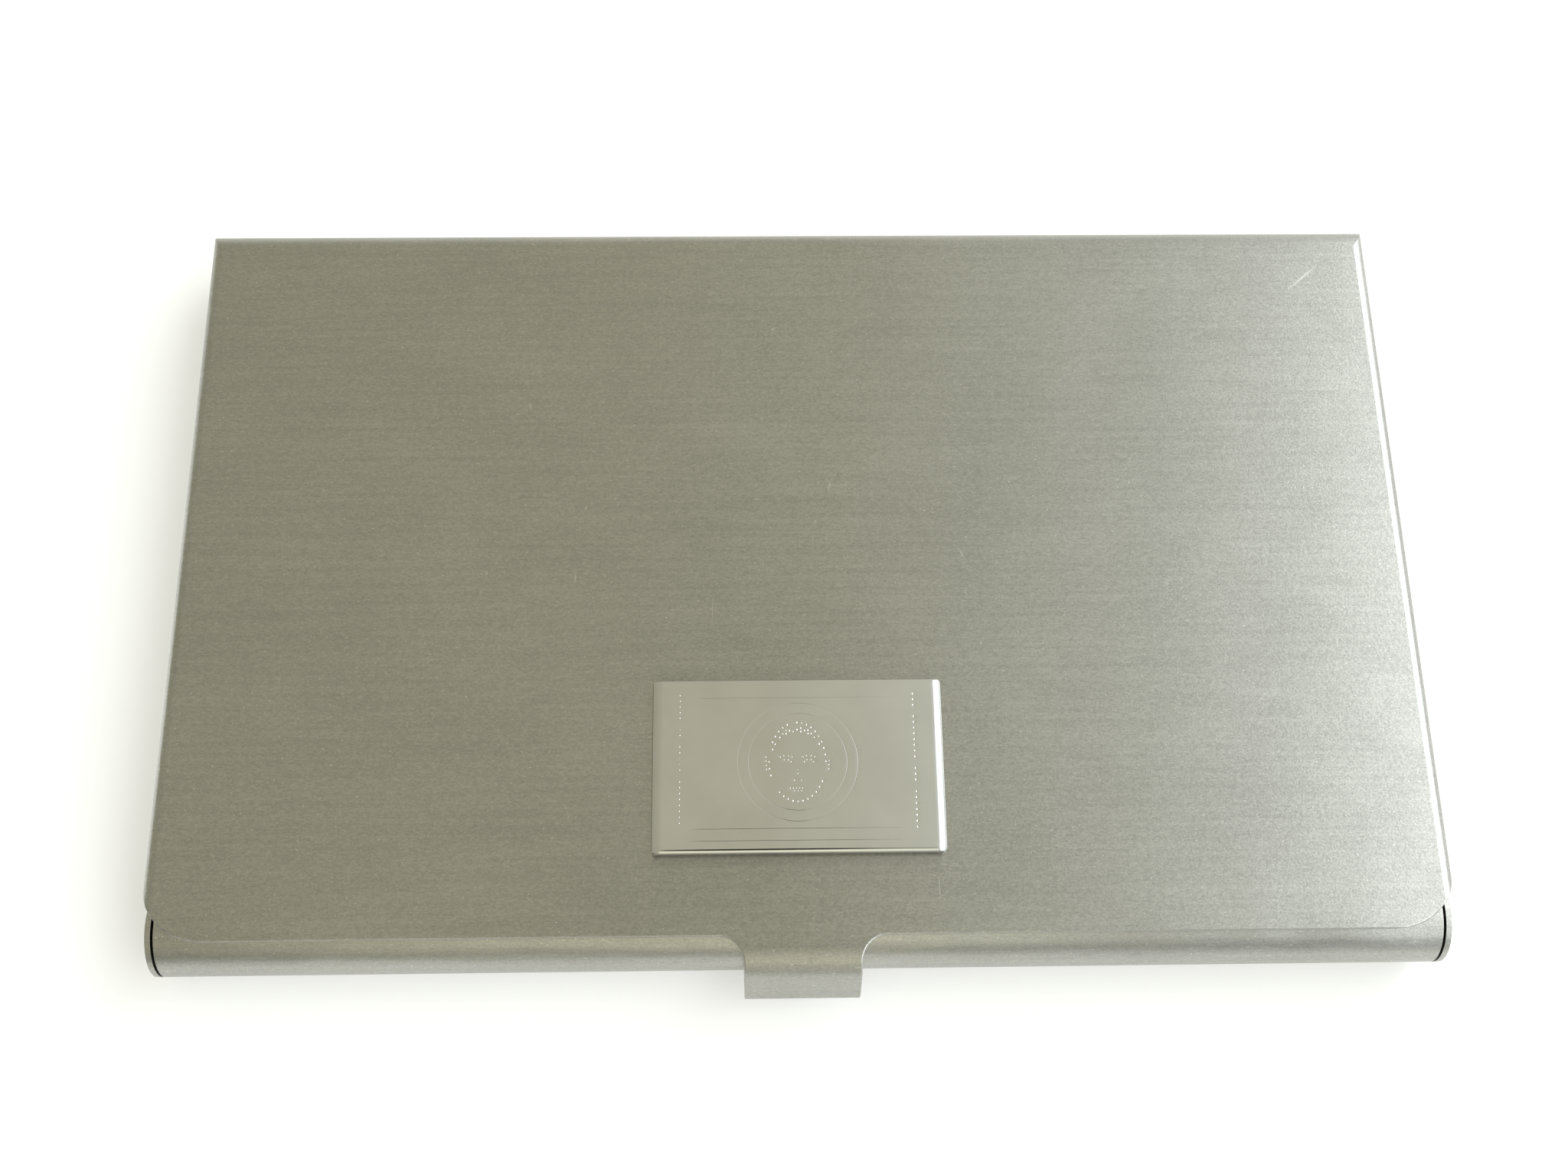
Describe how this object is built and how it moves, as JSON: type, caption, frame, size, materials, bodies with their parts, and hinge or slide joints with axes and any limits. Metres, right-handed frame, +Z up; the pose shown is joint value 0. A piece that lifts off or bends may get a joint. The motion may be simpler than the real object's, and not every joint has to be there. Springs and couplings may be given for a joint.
{
  "type": "business card case",
  "caption": "Slim brushed steel card case: tray with a rolled front edge, flat lid hinged at the rear with a thumb tab and a polished badge, and a lifter plate that raises the cards.",
  "frame": {"origin": "middle of the footprint, on the surface that the case lies on", "axes": "+X along the case's length to the right, +Y to the hinge at the rear, +Z up through the lid"},
  "size_m": [0.094, 0.061, 0.0085],
  "materials": {
    "brushed_shell": "satin, brushed lengthwise",
    "inner_steel": "mill finish",
    "rivet_steel": "turned",
    "washer_plastic": "plain",
    "badge_chrome": "polished with fine engraving",
    "adhesive_foam": "matt"
  },
  "bodies": {
    "tray": {"base_shell": "brushed_shell", "hinge_rivet_right": "rivet_steel", "hinge_rivet_left": "rivet_steel", "hinge_washer_right": "washer_plastic", "hinge_washer_left": "washer_plastic"},
    "lid": {"lid_shell": "brushed_shell", "hinge_strip": "inner_steel", "lifter_pin_right": "rivet_steel", "lifter_pin_left": "rivet_steel", "badge_plate": "badge_chrome", "badge_pad": "adhesive_foam"},
    "lifter": {"lifter_plate": "inner_steel"}
  },
  "joints": [
    {"name": "lid_hinge", "type": "hinge", "parent": "tray", "child": "lid", "pos_m": [0, 0.0273, 0.0039], "axis": [-1, 0, 0], "range_deg": [0, 105]},
    {"name": "lifter_pivot", "type": "hinge", "parent": "tray", "child": "lifter", "pos_m": [0, -0.0245, 0.0017], "axis": [1, 0, 0], "range_deg": [0, 8]}
  ],
  "couplings": [
    {"joint": "lifter_pivot", "follows": "lid_hinge", "ratio": 0.07619}
  ]
}
